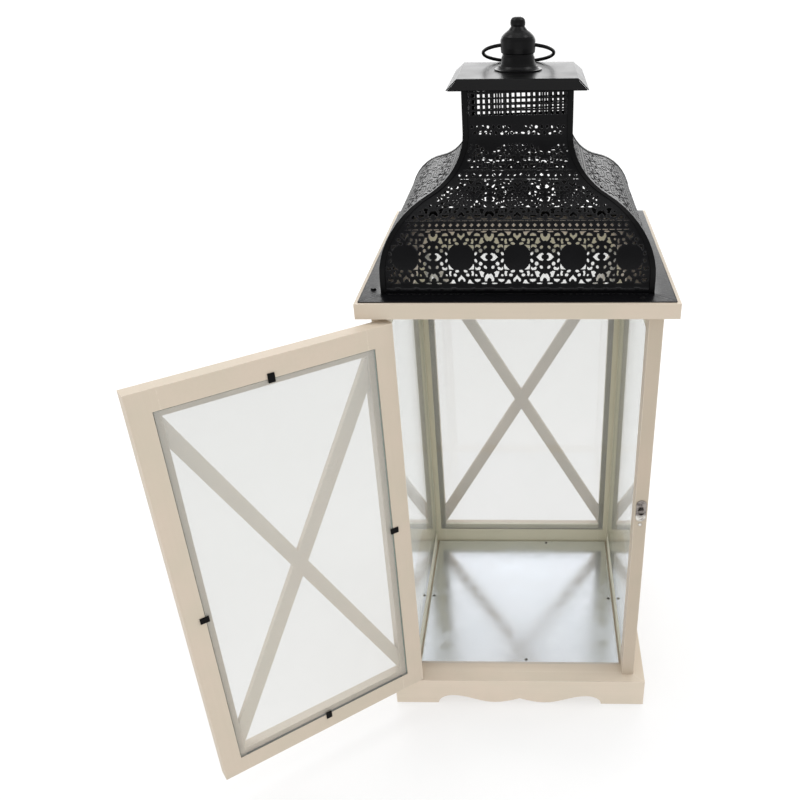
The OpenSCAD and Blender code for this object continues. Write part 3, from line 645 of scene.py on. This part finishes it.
first_disc_row = 35.6
row_squeeze = 0.93
upper_swell = 1.16
rosette_rings = ((2.3, 6, 0.75), (5.4, 10, 0.85), (8.7, 16, 0.85))
rosette_stretch = 1.3
border_pitch = disc_pitch / 8
border_diamond = (1.95, 2.025)
border_slit = (2.75, 0.5)
border_gap = 4.5


def mirrored(points, flip_x, flip_y):
    """The outline turned over to the left or down, or both."""
    return [(x * flip_x, y * flip_y) for x, y in points]


def swollen(points, factor):
    """The outline grown about its own middle, as the thinner metal of the upper rows stretches."""
    mid_x = sum(x for x, y in points) / len(points)
    mid_y = sum(y for x, y in points) / len(points)
    return [(mid_x + (x - mid_x) * factor, mid_y + (y - mid_y) * factor) for x, y in points]


def anticlockwise(points):
    """The same outline, going round anticlockwise."""
    twice_area = sum(
        x0 * y1 - x1 * y0 for (x0, y0), (x1, y1) in zip(points, points[1:] + points[:1])
    )
    return points if twice_area > 0 else points[::-1]


def rosette(centre, level):
    """Rings of small holes that open up a disc of an upper row."""
    holes = []
    for reach, count, punch in rosette_rings:
        for step in range(count):
            angle = 2 * math.pi * (step + 0.5) / count
            spot = (centre + reach * math.cos(angle), level + reach * math.sin(angle))
            holes.append(outline(oval(punch * rosette_stretch, punch, 6), spot, angle))
    return holes


def arabesque():
    """The rows of discs with the holes around them."""
    holes = []
    for row in range(disc_rows):
        level = first_disc_row + row * row_pitch
        swell = upper_swell if row else 1.0
        for column in range(-3, 4):
            centre = column * disc_pitch
            middle = centre + disc_pitch / 2
            for down in (-1, 1):
                squeeze = 1.0 if (row == 0 and down < 0) else row_squeeze
                punches = [
                    (centre, swollen(mirrored(hole, across, down), swell))
                    for across in (-1, 1)
                    for hole in quarter_holes
                ]
                punches.append((centre, mirrored(disc_arrow, 1, down)))
                punches.append((middle, mirrored(middle_arrow, 1, down)))
                for place, punch in punches:
                    holes.append([(place + x, level + y * squeeze) for x, y in punch])
            if row:
                holes += rosette(centre, level)
            for across in (-1, 1):
                holes.append(outline(mirrored(side_pointer, across, 1), (centre, level)))
    return holes


def borders():
    """The rows of diamonds between slits that part the rows of discs."""
    holes = []
    for row in range(disc_rows - 1):
        level = first_disc_row + (row + 0.5) * row_pitch
        for step in range(-20, 21):
            place = (step + 0.5) * border_pitch
            holes.append(outline(oval(*border_diamond, 4), (place, level)))
            for lift in (-border_gap, border_gap):
                holes.append(outline(oblong(*border_slit), (place, level + lift)))
    return holes


small_pitch = border_pitch * 0.78
small_rows = ((0.7, 0.0, 2.15), (6.1, small_pitch / 2, 1.75))
small_height = 1.6
small_margin = 7.5
small_gaps = (0.9, 4.1)


def small_holes():
    """Two staggered rows of small ovals under the chimney's grid, with gaps beside the middle."""
    holes = []
    for step in range(-9, 10):
        for lift, stagger, across in small_rows:
            place = step * small_pitch + stagger
            within = abs(place) < neck_half * 1000 - small_margin
            if within and not small_gaps[0] <= abs(place) <= small_gaps[1]:
                spot = (place, neck_end * 1000 + lift)
                holes.append(outline(oval(across, small_height, 7), spot, 0.35 * step))
    return holes


pattern_foot = 8.5
pattern_top = neck_end * 1000 - 8.5
corner_margin = 4.2
grid_pitch = 5.30
grid_hole = 1.82
grid_columns = 19
grid_shift = 0.6
grid_rows = 5
grid_first = neck_end * 1000 + 18.5


def panel_holes(extra_rows, grid_tilt):
    """The holes that fit between the corners of one panel, in metres."""
    kept = []
    for hole in arabesque() + borders():
        heights = [y for x, y in hole]
        if pattern_foot < min(heights) and max(heights) < pattern_top:
            half_here = min(bent(y / 1000)[0] for y in heights) * 1000
            if max(abs(x) for x, y in hole) < half_here - corner_margin:
                kept.append(hole)
    if extra_rows == 0:
        kept += small_holes()
    for row in range(-extra_rows, grid_rows):
        for column in range(grid_columns):
            place = (column - (grid_columns - 1) / 2) * grid_pitch + grid_shift
            level = grid_first + row * grid_pitch + place * grid_tilt
            kept.append(outline(oblong(grid_hole, grid_hole), (place, level), grid_tilt))
    return [[(x / 1000, y / 1000) for x, y in anticlockwise(hole)] for hole in kept]


def steps_up(start, rise, count):
    """Evenly spaced distances up a stretch of the sheet, without its start."""
    return [start + rise * i / count for i in range(1, count + 1)]


# The distances up the sheet at which it gets rows of points, closest where it bends most.
flange_run = flange_half - eave_half
runs = [-flange_run, -flange_run / 2, -fold_run, -fold_run / 3, fold_run / 3, fold_run]
runs += [foot_rise / 2, foot_rise]
runs += steps_up(foot_rise, bell_end - foot_rise, 20)
runs += steps_up(bell_end, neck_end - bell_end, 16)
runs += steps_up(neck_end, chimney_rise, 8)

punched_paint, punched_shader, punched_place = new_finish(
    "punched_black_paint", {"Specular IOR Level": 0.07}
)
dust = noise(punched_place, 55.0, 6.0, 0.7)
burr = noise(punched_place, 620.0, 3.0)
rolled_rim = softened(punched_place, rim_reach)
# The hole edges turn grey: a painted highlight where the rolled edges catch the light.
punch_edge_highlight = edge_turn(punched_place, rolled_rim) * 2.6
dusty_black = blend(dust, deep_black, (0.0060, 0.0060, 0.0068))
blend(punch_edge_highlight, dusty_black, (0.075, 0.075, 0.078)).into(punched_shader, "Base Color")
(0.24 + dust * 0.18).into(punched_shader, "Roughness")
relief(punched_shader, burr, 0.55, 0.0005, Normal=rolled_rim)

point_spacing = 0.006
hole_clearance = 0.0006
slope_step = 1e-5
merge_within = 1e-7


def clear_of(point, rounds):
    """Whether a point lies well outside every hole, each taken as its centre and reach."""
    return all(
        math.hypot(point[0] - centre.x, point[1] - centre.y) >= reach + hole_clearance
        for centre, reach in rounds
    )


def pierced_panel(extra_rows, grid_tilt):
    """One bent panel with real holes, facing the front."""
    right_edge = [(bent(run)[0], run) for run in runs]
    left_edge = [(-x, run) for x, run in reversed(right_edge)]
    points = [Vector(p) for p in right_edge + left_edge]
    loops = [list(range(len(points)))]
    rounds = []
    for hole in panel_holes(extra_rows, grid_tilt):
        corners = [Vector(p) for p in hole]
        loops.append(list(range(len(points), len(points) + len(corners))))
        points += corners
        centre = sum(corners, Vector((0, 0))) / len(corners)
        rounds.append((centre, max((corner - centre).length for corner in corners)))
    for run in runs[1:-1]:
        half_here = bent(run)[0]
        count = int(half_here / point_spacing)
        for step in range(-count, count + 1):
            spot = (step * half_here / (count + 0.5), run)
            if clear_of(spot, rounds):
                points.append(Vector(spot))
    flat, _, tiles, _, _, sources = delaunay_2d_cdt(points, [], loops, 1, merge_within, True)
    kept = [tile for tile, source in zip(tiles, sources) if source == [0]]
    outer, inner = [], []
    for point in flat:
        out, z = bent(point.y)
        ahead = bent(point.y + slope_step)
        slope = Vector((ahead[0] - out, ahead[1] - z)).normalized()
        outer.append((point.x, -out, z))
        inner.append((point.x * (1 - sheet / out), -(out - sheet * slope.y), z + sheet * slope.x))
    count = len(flat)
    sides = {(a, b): None for tile in kept for a, b in zip(tile, tile[1:] + tile[:1])}
    walls = [(a, b) for a, b in sides if (b, a) not in sides]
    built = [tuple(tile) for tile in kept]
    built += [tuple(count + i for i in reversed(tile)) for tile in kept]
    built += [(b, a, count + a, count + b) for a, b in walls]
    mesh = bpy.data.meshes.new("pierced_panel")
    mesh.from_pydata(outer + inner, [], built)
    mesh.shade_smooth()
    ends = {frozenset((a + layer, b + layer)) for a, b in walls for layer in (0, count)}
    sharp = mesh.attributes.new("sharp_edge", "BOOLEAN", "EDGE")
    sharp.data.foreach_set("value", [frozenset(edge.vertices) in ends for edge in mesh.edges])
    mesh.materials.append(punched_paint)
    return mesh


# The back sheet was punched with three more rows in its grid, which lean the other way.
panel_mesh = pierced_panel(extra_rows=0, grid_tilt=0.012)
back_mesh = pierced_panel(extra_rows=3, grid_tilt=-0.035)
for quarter, side in enumerate(("front", "right", "back", "left")):
    panel_source = back_mesh if side == "back" else panel_mesh
    panel = into_scene(f"pierced_{side}", panel_source.copy())
    panel.data.transform(Matrix.Rotation(quarter * math.pi / 2, 4, "Z"))
    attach(panel, "case")
    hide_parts(f"roof_{side}")
for fitting in ("roof_corner_seams", "roof_screws"):
    dress(fitting, black_paint)

# ---------------------------------------------------------------- Chimney cap
# A square of black painted sheet with its four edges folded down and their corners notched.  It
# covers the chimney and is clamped under the finial.

dress("chimney_cap", black_paint)

# ---------------------------------------------------------------- Finial
# A spun foot, a hollow bulb and a turned knob, dipped in a glossier black than the sheet and
# drawn together by a stud and nut.

gloss_tones = (deep_black, (0.0045, 0.0045, 0.0047))
gloss_paint, gloss_shader, _, dip = mottled(
    "gloss_black_paint", {"Specular IOR Level": 0.11}, (70.0, 3.0), gloss_tones, (0.26, 0.10)
)
relief(gloss_shader, dip, 0.05, 0.0003)
for turned in ("finial_foot", "finial_bulb", "finial_knob"):
    dress(turned, gloss_paint)
for fixing in ("finial_stud", "finial_nut"):
    dress(fixing, nickel)

# ---------------------------------------------------------------- Carrying ring
# Black painted wire bent round and passed through the two holes of the bulb, where it swings
# freely.  Let go, it lies on the cap.

dress("carrying_ring", black_paint)
